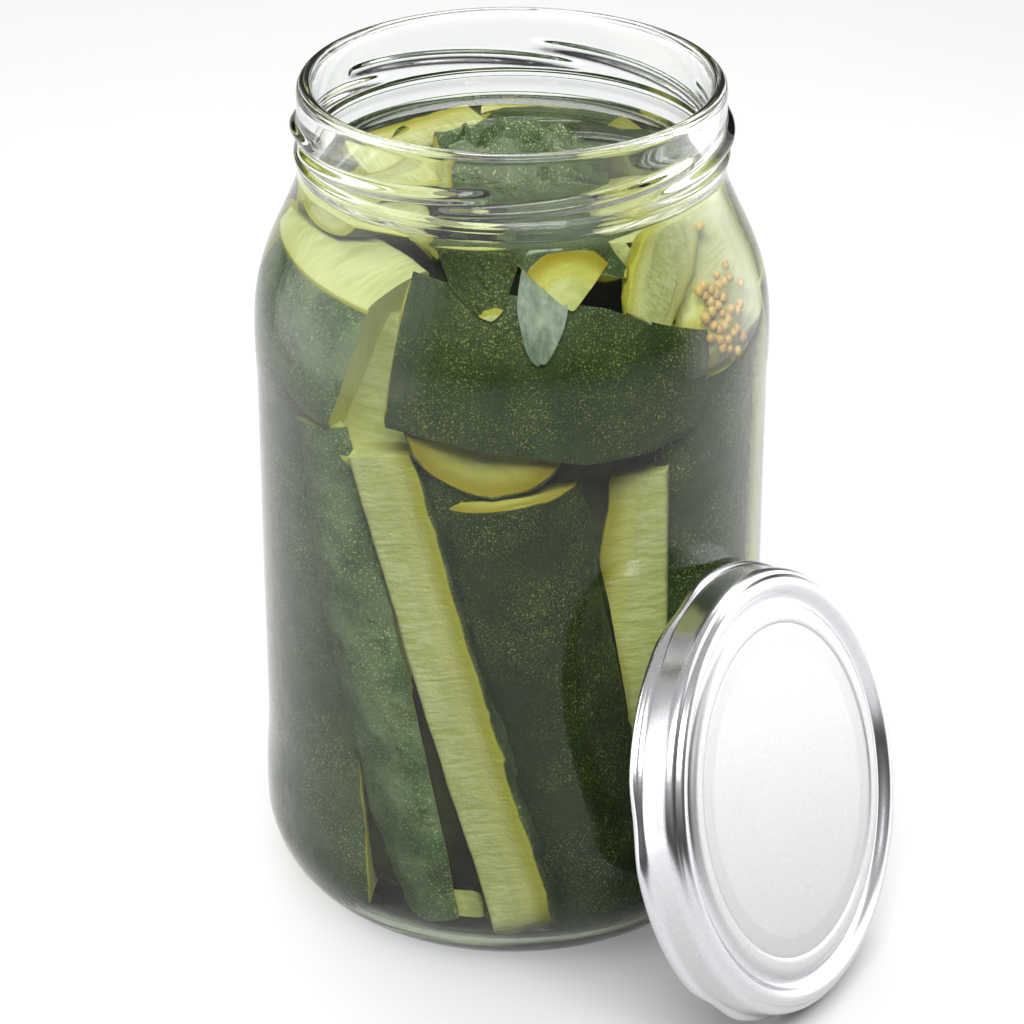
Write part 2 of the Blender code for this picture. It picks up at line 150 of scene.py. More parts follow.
# Peel flap, whose pale, partly clear look is painted reflection
PEEL_COLUMNS = 20
PEEL_ROWS = 34
PEEL_THICKNESS = 0.5
PEEL_BEARING = 9.5
PEEL_SPAN = 13                  # degrees, at its widest
PEEL_TOP_Z = 150
PEEL_LENGTH = 21
PEEL_R = 45.2

# Camera, as the photograph was seen
PICTURE = 1024
SENSOR = 36.0
FOCAL_PX = 3590
DISTANCE = 700.0
ELEVATION = 27.3
AIM_Z = 77.0

# Light: each card is five of them in one, so that its reflection has soft edges
CARD_POWER = 0.26
CARD_SIZES = (0.5, 0.7, 0.9, 1.1, 1.3)
FLOOR_HALF = 6.0                # metres, as are all places and sizes of the lights
FLOOR_DROP = 0.00005            # keeps the floor clear of what stands on it
SKY_STRENGTH = 0.6
SKY_LOW = (0.07, 0.07, 0.072, 1)
SKY_HIGH = (1, 1, 1, 1)


# Shader wiring


class Wire:
    """A number on its way through a material's nodes. Python's operators add Math nodes."""

    def __init__(self, finish, socket):
        self.finish = finish
        self.socket = socket

    def math(self, operation, *others):
        inputs = {i: other for i, other in enumerate((self, *others))}
        return self.finish.node("ShaderNodeMath", {"operation": operation}, inputs).out("Value")

    def __add__(self, other):
        return self.math("ADD", other)

    __radd__ = __add__

    def __mul__(self, other):
        return self.math("MULTIPLY", other)

    __rmul__ = __mul__

    def __sub__(self, other):
        return self.math("SUBTRACT", other)

    def __rsub__(self, other):
        return (self * -1) + other

    def __pow__(self, other):
        return self.math("POWER", other)

    def clamp(self):
        return self.math("MAXIMUM", 0).math("MINIMUM", 1)


class Part:
    """One node of a material, whose outputs are read by name."""

    def __init__(self, finish, node):
        self.finish = finish
        self.node = node

    def out(self, name):
        return Wire(self.finish, self.node.outputs[name])


class Finish:
    """A material built round a Principled shader."""

    def __init__(self, name, settings):
        self.material = bpy.data.materials.new(name)
        self.material.use_nodes = True
        self.tree = self.material.node_tree
        self.shader = self.tree.nodes["Principled BSDF"]
        self.feed(self.shader, settings)

    def feed(self, node, inputs):
        for name, value in inputs.items():
            socket = node.inputs[name]
            if isinstance(value, Wire):
                self.tree.links.new(value.socket, socket)
            elif isinstance(value, tuple) and len(value) == 3 and len(socket.default_value) == 4:
                socket.default_value = (*value, 1)
            else:
                socket.default_value = value

    def node(self, kind, settings=None, inputs=None):
        node = self.tree.nodes.new(kind)
        for name, value in (settings or {}).items():
            setattr(node, name, value)
        self.feed(node, inputs or {})
        return Part(self, node)

    def paint(self, inputs):
        self.feed(self.shader, inputs)

    def attribute(self, name):
        return self.node("ShaderNodeAttribute", {"attribute_name": name})

    def where(self):
        return self.node("ShaderNodeTexCoord").out("Object")

    def split(self, vector):
        parts = self.node("ShaderNodeSeparateXYZ", None, {"Vector": vector})
        return parts.out("X"), parts.out("Y"), parts.out("Z")

    def stretch(self, vector, scale):
        node = self.node("ShaderNodeVectorMath", {"operation": "MULTIPLY"}, {0: vector, 1: scale})
        return node.out("Vector")

    def noise(self, vector, scale, detail=3.0, rough=0.55):
        inputs = {"Vector": vector, "Scale": scale, "Detail": detail, "Roughness": rough}
        return self.node("ShaderNodeTexNoise", None, inputs).out("Fac")

    def cells(self, vector, scale):
        node = self.node("ShaderNodeTexVoronoi", None, {"Vector": vector, "Scale": scale})
        return node.out("Distance")

    def step(self, value, low, high):
        """Zero below low and one above high, with a soft change between; high may be the smaller."""
        settings = {"interpolation_type": "SMOOTHSTEP"}
        inputs = {"Value": value, "From Min": min(low, high), "From Max": max(low, high)}
        made = self.node("ShaderNodeMapRange", settings, inputs).out("Result")
        return made if low < high else 1 - made

    def mix(self, amount, first, second):
        """The first colour where amount is zero and the second where it is one."""
        node = self.node("ShaderNodeMix", {"data_type": "RGBA"}, {0: amount, 6: first, 7: second}).node
        return Wire(self, node.outputs[2])

    def bump(self, height, depth_mm, strength=1.0):
        inputs = {"Height": height, "Distance": depth_mm * MM, "Strength": strength}
        return self.node("ShaderNodeBump", None, inputs).out("Normal")

    def let_lamps_through(self, tint):
        """Shadow rays pass, so that lamps light what is behind the glass."""
        light_path = self.node("ShaderNodeLightPath").out("Is Shadow Ray")
        clear = self.node("ShaderNodeBsdfTransparent", None, {"Color": tint}).out("BSDF")
        body = Wire(self, self.shader.outputs["BSDF"])
        both = self.node("ShaderNodeMixShader", None, {0: light_path, 1: body, 2: clear})
        output = self.tree.nodes["Material Output"]
        self.tree.links.new(both.node.outputs[0], output.inputs["Surface"])


# Finishes


def glass_finish(name, gloss):
    """Clear glass. Where brine wets it, the wall hardly mirrors, so gloss is low there."""
    finish = Finish(name, {
        "Base Color": (0.965, 0.985, 0.972), "Roughness": 0.0, "IOR": 1.5, "Transmission Weight": 1.0,
        "Specular Tint": (gloss, gloss, gloss)})
    where = finish.where()
    ripple = finish.noise(where, 55, 2.0) * 0.6 + finish.noise(where, 190, 2.0) * 0.12
    finish.paint({"Normal": finish.bump(ripple, 0.25, 0.35)})
    finish.let_lamps_through((0.95, 0.97, 0.955))
    return finish.material


def brine_finish(name, gloss):
    """Clear brine, faintly yellow-green. It mirrors fully only at its free surface."""
    finish = Finish(name, {
        "Base Color": (0.95, 0.965, 0.84), "Roughness": 0.0, "IOR": 1.34, "Transmission Weight": 1.0,
        "Specular Tint": (gloss, gloss, gloss)})
    finish.let_lamps_through((0.93, 0.95, 0.82))
    return finish.material


def cucumber_finish():
    """Skin where the outer radius is reached, flesh inside it, and a seed bed at the middle."""
    finish = Finish("cucumber_pickled", {"IOR": 1.38, "Specular IOR Level": 0.35})
    where = finish.attribute("cut").out("Vector")
    tone = finish.attribute("tone").out("Fac")
    ripe = finish.attribute("ripe").out("Fac")
    x, y, _ = finish.split(where)
    depth = (x * x + y * y) ** 0.5
    wobble = (finish.noise(where, 2.2, 2.0) - 0.5) * 0.05
    skin = finish.step(depth + wobble, 0.955, 0.985)
    # skin
    spot = finish.where()
    blotch = finish.noise(spot, 110, 4.0, 0.6)
    grain = finish.noise(spot, 620, 3.0, 0.65)
    dust = finish.step(finish.noise(spot, 3800, 2.0, 0.5), 0.54, 0.64)
    speck = finish.step(finish.noise(spot, 2700, 1.0, 0.5), 0.60, 0.68)
    patch = finish.step(finish.noise(spot, 75, 3.0), 0.36, 0.64)
    dark = finish.mix(blotch, (0.004, 0.010, 0.003), (0.025, 0.046, 0.010))
    grey = finish.mix(finish.step(blotch, 0.34, 0.66), (0.06, 0.115, 0.045), (0.22, 0.30, 0.17))
    green = finish.mix(tone, dark, grey)
    green = finish.mix(dust * (0.08 + patch * 0.42), green, (0.19, 0.24, 0.05))
    fleck = finish.mix(tone, (0.36, 0.40, 0.11), (0.56, 0.62, 0.42))
    rind = finish.mix((speck * (0.1 + patch * 0.6 + tone * 0.4)).clamp(), green, fleck)
    # flesh
    edge = finish.step(depth + wobble * 2, 0.62, 0.92)
    bed = finish.step(depth + (finish.noise(where, 3, 2.0) - 0.5) * 0.2, 0.60, 0.42)
    pale = finish.mix(ripe, (0.80, 0.82, 0.44), (0.72, 0.68, 0.16))
    outer = finish.mix(ripe, (0.60, 0.60, 0.09), (0.42, 0.32, 0.02))
    flesh = finish.mix(edge, pale, outer)
    rungs = finish.noise(finish.stretch(where, (1.6, 1.6, 7.0)), 1.6, 3.0, 0.6)
    pith = finish.mix(finish.step(rungs, 0.36, 0.62), (0.60, 0.66, 0.26), (0.84, 0.87, 0.52))
    flesh = finish.mix(bed * 0.7, flesh, pith)
    cloud = finish.noise(where, 1.1, 3.0)
    flesh = finish.mix(finish.step(cloud, 0.62, 0.35) * 0.3, flesh, (0.46, 0.48, 0.12))
    colour = finish.mix(skin, flesh, rind)
    # surface
    warts = finish.step(finish.cells(where, 3.2), 0.34, 0.05)
    fibre = rungs * 0.6 + finish.noise(where, 14, 3.0) * 0.4
    height = skin * (warts * 0.6 + grain * 0.5) + (1 - skin) * fibre
    finish.paint({
        "Base Color": colour,
        "Roughness": 0.34 + skin * 0.16 + (grain - 0.5) * 0.2,
        "Normal": finish.bump(height, 0.7, 0.6)})
    return finish.material


def seed_finish():
    finish = Finish("mustard_seed", {"Roughness": 0.4, "Specular IOR Level": 0.4})
    where = finish.where()
    tint = finish.noise(where, 420, 1.0)
    mottle = finish.noise(where, 2600, 2.0)
    colour = finish.mix(finish.step(tint, 0.35, 0.65), (0.62, 0.33, 0.03), (0.85, 0.58, 0.13))
    colour = finish.mix(mottle * 0.3, colour, (0.30, 0.16, 0.03))
    finish.paint({"Base Color": colour, "Normal": finish.bump(mottle, 0.1, 0.5)})
    return finish.material


def peel_finish():
    finish = Finish("peel", {"Roughness": 0.35})
    where = finish.where()
    veins = finish.noise(finish.stretch(where, (1, 1, 0.25)), 420, 4.0, 0.65)
    # painted reflection: the pale, partly clear streaks stand for the whitish sheen on the glass, over
    # the peel's own grey-green
    colour = finish.mix(finish.step(veins, 0.35, 0.68), (0.20, 0.27, 0.22), (0.48, 0.55, 0.50))
    finish.paint({
        "Base Color": colour,
        "Alpha": 0.62 + (veins - 0.5) * 0.5,
        "Normal": finish.bump(veins, 0.3, 0.6)})
    return finish.material


def steel_finish():
    """Tinplate: a satin panel with a faint darker band, and smoother beads and skirt."""
    finish = Finish("tinplate", {"Metallic": 1.0, "Specular IOR Level": 0.5})
    radius, _, _ = finish.split(finish.attribute("turned").out("Vector"))
    where = finish.where()
    panel = finish.step(radius, LID_PANEL_R, LID_PANEL_R - 1.0)
    grain = finish.noise(where, 2600, 3.0, 0.7)
    mottle = finish.noise(where, 160, 4.0, 0.6)
    low, high = LID_BAND_R
    band = finish.step(radius, low, low + 1.0) * finish.step(radius, high, high - 1.0)
    colour = finish.mix(panel, (0.62, 0.62, 0.64), (0.565, 0.565, 0.575))
    colour = finish.mix(band * 0.2, colour, (0.30, 0.31, 0.32))
    colour = finish.mix(finish.step(grain, 0.4, 0.7) * 0.3, colour, (0.34, 0.34, 0.35))
    finish.paint({
        "Base Color": colour,
        "Roughness": 0.20 + panel * 0.24 + (mottle - 0.5) * 0.08 + (grain - 0.5) * 0.06,
        "Normal": finish.bump(grain * 0.5 + mottle * 0.5, 0.05, 0.25)})
    return finish.material


def compound_finish():
    finish = Finish("sealing_compound", {"Roughness": 0.55})
    mottle = finish.noise(finish.where(), 300, 3.0)
    colour = finish.mix(mottle, (0.62, 0.60, 0.54), (0.74, 0.72, 0.66))
    finish.paint({"Base Color": colour, "Normal": finish.bump(mottle, 0.1, 0.3)})
    return finish.material


def core_finish():
    finish = Finish("packed_pickles_painted_shade", {"Roughness": 0.7, "Specular IOR Level": 0.2})
    clump = finish.noise(finish.where(), 60, 3.0)
    # painted shade: the packed middle is coloured near black because it lies in shade behind the pieces
    colour = finish.mix(finish.step(clump, 0.4, 0.65), (0.008, 0.012, 0.004), (0.05, 0.06, 0.015))
    finish.paint({"Base Color": colour})
    return finish.material


def floor_finish():
    finish = Finish("floor_white", {"Roughness": 0.85, "Specular IOR Level": 0.1})
    mottle = finish.noise(finish.where(), 30, 2.0)
    finish.paint({"Base Color": finish.mix(mottle, (0.66, 0.66, 0.66), (0.67, 0.67, 0.67))})
    return finish.material


# Shapes


def place(bearing, z, r):
    """A point by its bearing, height and distance from the jar's axis."""
    a = math.radians(bearing)
    return Vector((r * math.sin(a), -r * math.cos(a), z))


def shoulder_r(z):
    """Outer radius between the body and the neck: round at the top of the body, hollow at the neck."""
    u = min(max((z - SHOULDER_Z) / (NECK_Z - SHOULDER_Z), 0), 1)
    return NECK_R + (SHOULDER_R - NECK_R) * (1 + math.cos(math.pi * u ** SHOULDER_SLOPE)) / 2


def inner_r(z):
    """Inner radius of the jar at a height."""
    top = FLOOR_Z + INNER_HEEL_HEIGHT
    if z < top:
        u = (top - max(z, FLOOR_Z)) / INNER_HEEL_HEIGHT
        return INNER_HEEL_R + (PANEL_R - WALL - INNER_HEEL_R) * math.sqrt(1 - u * u)
    if z < SHOULDER_Z:
        return PANEL_R - WALL
    return max(shoulder_r(z) - WALL - SHOULDER_EXTRA, NECK_BORE_R)


def inner_wave(bearing, z):
    """Uneven thickness of pressed glass, which bends what is seen through it."""
    spot = place(bearing, z * 0.6, 40) * 0.045
    return GLASS_WAVE * noise.noise(spot) * min(1, (JAR_HEIGHT - z) / 8)


def thread_relief(bearing, z):
    """How far the thread stands out: six lens-shaped ridges, each rising towards the right."""
    relief = 0.0
    for start in range(THREAD_STARTS):
        first = THREAD_FIRST + start * 360 / THREAD_STARTS
        s = ((bearing - first) % 360) / THREAD_SWEEP
        if s >= 1:
            continue
        centre = THREAD_LOW + (THREAD_HIGH - THREAD_LOW) * s
        off = (z - centre) / THREAD_HALF_WIDTH
        if abs(off) < 1:
            fade = math.sqrt(math.sin(math.pi * s))
            relief = max(relief, THREAD_RELIEF * fade * math.cos(math.pi / 2 * off) ** 2)
    return relief


def rounded(points, size, steps=4):
    """Replaces each corner of an outline with a small curve of about the given size."""
    out = [points[0]]
    for before, here, after in zip(points, points[1:], points[2:]):
        a = Vector(before)
        b = Vector(here)
        c = Vector(after)
        start = b.lerp(a, min(0.5, size / max((a - b).length, 0.001)))
        end = b.lerp(c, min(0.5, size / max((c - b).length, 0.001)))
        for i in range(steps + 1):
            t = i / steps
            out.append(tuple(start.lerp(b, t).lerp(b.lerp(end, t), t)))
    out.append(points[-1])
    return out


def mesh_object(name, verts, faces, finish, sharp=40.0):
    mesh = bpy.data.meshes.new(name)
    mesh.from_pydata(verts, [], faces)
    mesh.update()
    obj = bpy.data.objects.new(name, mesh)
    bpy.context.scene.collection.objects.link(obj)
    mesh.materials.append(finish)
    mesh.shade_smooth()
    if sharp:
        mesh.set_sharp_from_angle(angle=math.radians(sharp))
    return obj


def turned(name, profile, sides, finish, relief=None, sharp=0.0):
    """A closed turned body about the origin. The profile starts and ends on the axis."""
    verts = []
    rings = []
    for i, (r, z) in enumerate(profile):
        if r < 0.001:
            rings.append([len(verts)])
            verts.append((0, 0, z * MM))
            continue
        rings.append(list(range(len(verts), len(verts) + sides)))
        for k in range(sides):
            bearing = 360 * k / sides
            radius = r + (relief(i, bearing, r, z) if relief else 0)
            verts.append(tuple(place(bearing, z, radius) * MM))
    faces = []
    for low, high in zip(rings, rings[1:]):
        for k in range(sides):
            j = (k + 1) % sides
            corners = [low[k % len(low)], low[j % len(low)], high[j % len(high)], high[k % len(high)]]
            faces.append(tuple(dict.fromkeys(corners)))
    return mesh_object(name, verts, faces, finish, sharp)


def quarter(r0, z0, r1, z1, steps):
    """Points after (r0, z0) on a quarter ellipse that starts flat and ends upright at (r1, z1)."""
    turn = [math.pi / 2 * i / steps for i in range(1, steps + 1)]
    return [(r0 + (r1 - r0) * math.sin(t), z0 + (z1 - z0) * (1 - math.cos(t))) for t in turn]


def spread(z0, z1, step, radius):
    """Points of a wall between two heights, whose radius is a function of the height."""
    count = max(1, round(abs(z1 - z0) / step))
    levels = [z0 + (z1 - z0) * i / count for i in range(count + 1)]
    return [(radius(z), z) for z in levels]


# Jar


def make_jar(dry, wet):
    """The jar's glass in one turned body. Its inside below the brine has the wet finish."""
    base = [(0, PUSH_UP), (24, PUSH_UP * 0.85), (FOOT_INNER_R - 1.5, 0.5), (FOOT_INNER_R, 0)]
    base.append((FOOT_OUTER_R, 0))
    heel = quarter(FOOT_OUTER_R, 0, HEEL_R, HEEL_HEIGHT, 24)
    outside = rounded(base + heel[:1], 0.6) + heel[1:]
    body = [(HEEL_R, HEEL_HEIGHT), (HEEL_R, HEEL_TOP_Z), (PANEL_R, PANEL_LOW_Z), (PANEL_R, PANEL_HIGH_Z)]
    outside += rounded(body + [(SHOULDER_R, SHOULDER_Z)], 4.0, 6)[1:-1]
    outside += spread(SHOULDER_Z, NECK_Z - 0.9, 1.4, shoulder_r)
    bead = [(BEAD_R - 0.25, BEAD_Z - 1.2), (BEAD_R, BEAD_Z - 0.3), (BEAD_R - 0.25, BEAD_Z + 0.6)]
    outside += rounded([outside[-1]] + bead + [(NECK_R, BEAD_Z + 1.2)], 0.8)[1:]
    first_thread = len(outside)
    outside += spread(BEAD_Z + 1.4, JAR_HEIGHT - 5.6, 0.22, lambda z: NECK_R)
    last_thread = len(outside)
    lip = [(NECK_R, JAR_HEIGHT - 5), (NECK_R, JAR_HEIGHT - LIP_DROP), (NECK_R - 0.55, JAR_HEIGHT - 0.45)]
    lip += [(NECK_R - 1.5, JAR_HEIGHT), (NECK_BORE_R + 0.5, JAR_HEIGHT - 0.45)]
    lip += [(NECK_BORE_R, JAR_HEIGHT - LIP_DROP), (NECK_BORE_R, JAR_HEIGHT - 5)]
    outside += rounded(lip, 0.7)
    first_inside = len(outside)
    inside = spread(JAR_HEIGHT - 6, FLOOR_Z + INNER_HEEL_HEIGHT + 0.5, 2.4, inner_r)
    inside += quarter(INNER_HEEL_R, FLOOR_Z, PANEL_R - WALL, FLOOR_Z + INNER_HEEL_HEIGHT, 18)[::-1]
    inside += [(INNER_HEEL_R, FLOOR_Z), (16, FLOOR_Z + FLOOR_DOME * 0.7), (0, FLOOR_Z + FLOOR_DOME)]

    def relief(i, bearing, r, z):
        if first_thread <= i < last_thread:
            return thread_relief(bearing, z)
        if i >= first_inside:
            return inner_wave(bearing, z)
        if 0.3 < r - FOOT_OUTER_R < KNURL_LENGTH - 0.3 and z < 3:
            tick = math.cos(math.radians(bearing * KNURLS))
            return KNURL_RELIEF * max(0, tick) * math.sin(math.pi * (r - FOOT_OUTER_R) / KNURL_LENGTH)
        return 0
    jar = turned("glass_jar", outside + inside, JAR_SIDES, dry, relief)
    jar.data.materials.append(wet)
    for face in jar.data.polygons:
        if face.index // JAR_SIDES >= first_inside and face.center.z < BRINE_Z * MM:
            face.material_index = 1
    jar.data.transform(Matrix.Translation(AXIS * MM))
    return jar


def make_brine(surface, against_glass):
    """The brine fills the jar to just inside the glass, and climbs a little at the wall."""
    def wall(z):
        return inner_r(z) + BRINE_IN_WALL
    top = [(0, BRINE_Z), (30, BRINE_Z)]
    for i in range(7):
        u = i / 6
        r = MENISCUS_FROM_R + (wall(BRINE_Z) - MENISCUS_FROM_R) * u
        top.append((r, BRINE_Z + MENISCUS * u ** 3))
    sides = spread(BRINE_Z + MENISCUS - 0.3, FLOOR_Z + INNER_HEEL_HEIGHT + 0.5, 2.4, wall)
    low = quarter(INNER_HEEL_R, FLOOR_Z - BRINE_IN_WALL, PANEL_R - WALL + BRINE_IN_WALL,
                  FLOOR_Z + INNER_HEEL_HEIGHT, 18)[::-1]
    low += [(INNER_HEEL_R, FLOOR_Z - BRINE_IN_WALL), (16, FLOOR_Z + FLOOR_DOME * 0.7 - BRINE_IN_WALL)]
    low.append((0, FLOOR_Z + FLOOR_DOME - BRINE_IN_WALL))
    profile = (top + sides + low)[::-1]

    def relief(i, bearing, r, z):
        return inner_wave(bearing, z) if r > 31 and i < len(low) + len(sides) else 0
    brine = turned("brine", profile, 192, against_glass, relief, 35.0)
    brine.data.materials.append(surface)
    for face in brine.data.polygons:
        if face.center.z > BRINE_Z * MM - 0.0001 and face.normal.z > 0.3:
            face.material_index = 1
    brine.data.transform(Matrix.Translation(AXIS * MM))
    return brine


# Lid


def lug(bearing):
    """One at the middle of each lug, falling smoothly to nothing beside it."""
    step = 360 / LID_LUGS
    off = (bearing + step / 2) % step - step / 2
    if abs(off) > LID_LUG_HALF_ANGLE:
        return 0
    return math.cos(math.pi / 2 * off / LID_LUG_HALF_ANGLE) ** 2


def make_lid(steel, compound):
    """The lid, turned lying down with its lugs pressed in, then leaned against the jar."""
    top = LID_HEIGHT
    panel_z = top - 1.1
    outside = [(0, panel_z), (LID_PANEL_R - 4.6, panel_z), (LID_PANEL_R - 4.3, panel_z - 0.12)]
    outside += [(LID_PANEL_R - 3.9, panel_z + 0.3), (LID_PANEL_R - 1.4, panel_z + 0.35)]
    outside += [(LID_PANEL_R - 0.2, panel_z - 0.75), (LID_PANEL_R + 0.8, panel_z - 0.7)]
    outside += [(LID_BEAD_R - 1.4, top - 0.25), (LID_BEAD_R, top), (LID_BEAD_R + 0.9, top - 0.45)]
    outside += [(LID_BEAD_R + 1.2, top - 1.3), (LID_SKIRT_R - 1.0, top - 1.5)]
    outside += [(LID_SKIRT_R - 0.4, top - 2.5), (LID_SKIRT_R - 0.3, top - 4.0), (LID_SKIRT_R, 2.4)]
    curl = [(LID_CURL_R, 1.7), (LID_CURL_R, 0.7), (LID_CURL_R - 0.8, 0), (LID_SKIRT_R - 1.2, 0.3)]
    curl.append((LID_SKIRT_R - 1.1, 1.6))
    skirt_inside = LID_SKIRT_R - LID_SHEET
    inside = [(skirt_inside, 2.8), (skirt_inside, top - 3.6), (LID_BEAD_R + 0.9, top - 1.6)]
    seal_z = panel_z - LID_SHEET - 1.0
    inside += [(LID_BEAD_R + 0.3, seal_z), (LID_PANEL_R + 0.6, seal_z)]
    inside += [(LID_PANEL_R - 0.6, panel_z - 1.05), (LID_PANEL_R - 4.6, panel_z - LID_SHEET)]
    inside.append((0, panel_z - LID_SHEET))
    profile = rounded(outside + curl + inside, 0.9, 5)

    def relief(i, bearing, r, z):
        if r > LID_SKIRT_R - 1.6 and z < 2.0 and i > 0 and r < LID_CURL_R - 0.5:
            reach = LID_LUG_REACH if r < LID_SKIRT_R - 0.6 else LID_DENT
            return -reach * lug(bearing)
        if z < 4 and r > LID_SKIRT_R - 0.4:
            return -LID_DENT * lug(bearing) * min(1, (4 - z) / 3)
        return 0
    lid = turned("lid_shell", profile, LID_SIDES, steel, relief, 50.0)
    lid.data.materials.append(compound)
    data = lid.data
    turned_at = data.attributes.new("turned", "FLOAT_VECTOR", "POINT")
    for vertex, value in zip(data.vertices, turned_at.data):
        c = vertex.co / MM
        value.vector = (math.hypot(c.x, c.y), c.z, 0)
    for face in data.polygons:
        c = face.center / MM
        r = math.hypot(c.x, c.y)
        if LID_PANEL_R + 0.2 < r < LID_BEAD_R + 0.7 and c.z < seal_z + 0.35 and face.normal.z < 0:
            face.material_index = 1
    roll = Matrix.Rotation(math.radians(LID_ROLL), 4, "Z")
    upright = Matrix.Rotation(math.radians(90 - LID_LEAN), 4, "X")
    data.transform(Matrix.Rotation(math.radians(LID_FACING), 4, "Z") @ upright @ roll)
    spots = np.array([v.co[:] for v in data.vertices])
    low, high = (np.array(corner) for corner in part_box("lid"))
    move = (low + high) / 2 - (spots.min(0) + spots.max(0)) / 2
    move[2] = -spots[:, 2].min()
    data.transform(Matrix.Translation(Vector(move)))
    return lid


# Contents


def squeeze(value, limit):
    """Slows a value down as it nears a limit that it never quite reaches, so that order is kept."""
    over = value - (limit - SOFTNESS)
    return value if over < 0 else limit - SOFTNESS / (1 + over / SOFTNESS)


def press(point, inset=0.0, ceiling=SUNK_Z):
    """Keeps a point of the contents inside the glass and under the brine, as a pressed piece lies."""
    p = point.copy()
    p.z = -squeeze(-p.z, -(FLOOR_Z + FLOOR_DOME + CONTENTS_GAP + inset))
    p.z = squeeze(p.z, ceiling - inset)
    r = math.hypot(p.x, p.y)
    if r > 1:
        reach = squeeze(r, inner_r(p.z) - CONTENTS_GAP - inset)
        p.x *= reach / r
        p.y *= reach / r
    return p


def outward(bearing, up=0.0):
    """Direction away from the jar's axis at a bearing, raised by up."""
    flat = place(bearing, 0, 1)
    return Vector((flat.x, flat.y, up)).normalized()


class Pile:
    """Gathers cut pieces into one mesh, with where each point lies in its own cucumber."""

    def __init__(self):
        self.verts = []
        self.faces = []
        self.cut = []
        self.tone = []
        self.ripe = []
        self.count = 0

    def section(self, radius, half_angle, core):
        """Outline across a piece: its skin's arc and its cut sides, with slightly soft edges."""
        corners = []
        for i in range(ARC_STEPS + 1):
            a = math.radians(half_angle * (2 * i / ARC_STEPS - 1))
            corners.append((radius * math.sin(a), radius * math.cos(a)))
        if half_angle < 80:
            corners.append((0.0, core))
        loop = np.array(corners + corners[:1])
        lengths = np.concatenate(([0], np.cumsum(np.hypot(*np.diff(loop, axis=0).T))))
        spots = np.linspace(0, lengths[-1], AROUND, endpoint=False)
        points = np.stack([np.interp(spots, lengths, loop[:, i]) for i in (0, 1)], axis=1)
        for _ in range(2):
            points = points * 0.5 + (np.roll(points, 1, 0) + np.roll(points, -1, 0)) * 0.25
        return points

    def add(self, start, end, skin, radius, half_angle=45, core=0.0, bow=0.0, tips=(1, 1),
            ceiling=SUNK_Z, tone=0.3, ripe=0.3, peeled=False, skew=0.0, slant=0.0, gap=0.0,
            crumple=0.0):
        """A lengthwise cut of a cucumber, from start to end.

        skin is the direction in which its skin looks. half_angle is half of the skin's arc, and core
        is the place of the inner edge, from the cucumber's own axis. bow bends it towards the skin,
        and tips are the sizes of its two ends. tone is how grey the skin is and ripe how yellow the
        flesh. skew and slant tilt its ends, gap keeps it off the glass, and crumple wrinkles it.
        """
        length = (end - start).length
        whole = radius * (1.12 if peeled else 1)
        along = (end - start).normalized()
        face = (skin - along * skin.dot(along)).normalized()
        side = along.cross(face)
        inset = gap + INSET_STEP * (self.count % INSET_STEPS)
        self.count += 1
        rows = max(12, round(length / ROW_STEP))
        section = self.section(radius, half_angle, core)
        middle = section.mean(axis=0)
        shift = Vector((self.count * 7.3, self.count * 3.1, self.count * 5.7))
        stations = [(0.0, i / CAP_RINGS) for i in range(1, CAP_RINGS)]
        stations += [(k / rows, 1.0) for k in range(rows + 1)]
        stations += [(1.0, i / CAP_RINGS) for i in range(CAP_RINGS - 1, 0, -1)]
        base = len(self.verts)
        for t, grow in stations:
            centre = start.lerp(end, t) + face * bow * 4 * t * (1 - t)
            size = 1 - (1 - tips[0]) * max(0, 1 - 3 * t) - (1 - tips[1]) * max(0, 3 * t - 2)
            for x, y in middle + (section - middle) * grow:
                depth = math.hypot(x, y) / radius
                spot = centre + (side * x + face * y) * size + along * slant * x
                spot += along * skew * (radius - y) * (1 - 2 * t)
                feel = spot * 0.05 + shift
                swell = noise.noise(feel) * SWELL + noise.noise(feel * 3.1) * BULGE
                wart = max(0, noise.noise(feel * 5.5) - 0.15) * WART
                lift = swell + (wart if depth > SKIN_FROM else noise.noise(feel * 9) * CUT_GRAIN)
                push = (side * x + face * y).normalized() * lift if depth > 0.5 else face * lift * 0.4
                if crumple:
                    fold = 1 - abs(noise.noise(spot * 0.13 + shift)) * 2
                    crease = 1 - abs(noise.noise(spot * 0.42 + shift)) * 2
                    grit = noise.noise(spot * 1.3 + shift)
                    push += Vector((0, 0, 1)) * crumple * (fold + crease * 0.7 + grit * 0.25 - 0.9)
                if grow < 1:
                    push = along * lift * (WORN_END if t > 0.5 else -WORN_END)
                self.verts.append(tuple((press(spot + push, inset, ceiling) + AXIS) * MM))
                self.cut.append((x / whole, y / whole, t * length / whole + self.count * 3.7))
                self.tone.append(tone)
                self.ripe.append(ripe)
        for row in range(len(stations) - 1):
            for k in range(AROUND):
                a = base + row * AROUND + k
                b = base + row * AROUND + (k + 1) % AROUND
                self.faces.append((a, b, b + AROUND, a + AROUND))
        for ring, order in ((base, 1), (base + (len(stations) - 1) * AROUND, -1)):
            self.faces.append(tuple(range(ring, ring + AROUND))[::-order])

    def finish(self, name, material):
        obj = mesh_object(name, self.verts, self.faces, material, 42.0)
        cut = obj.data.attributes.new("cut", "FLOAT_VECTOR", "POINT")
        cut.data.foreach_set("vector", np.array(self.cut, dtype=np.float32).ravel())
        for label, values in (("tone", self.tone), ("ripe", self.ripe)):
            layer = obj.data.attributes.new(label, "FLOAT", "POINT")
            layer.data.foreach_set("value", np.array(values, dtype=np.float32))
        return obj


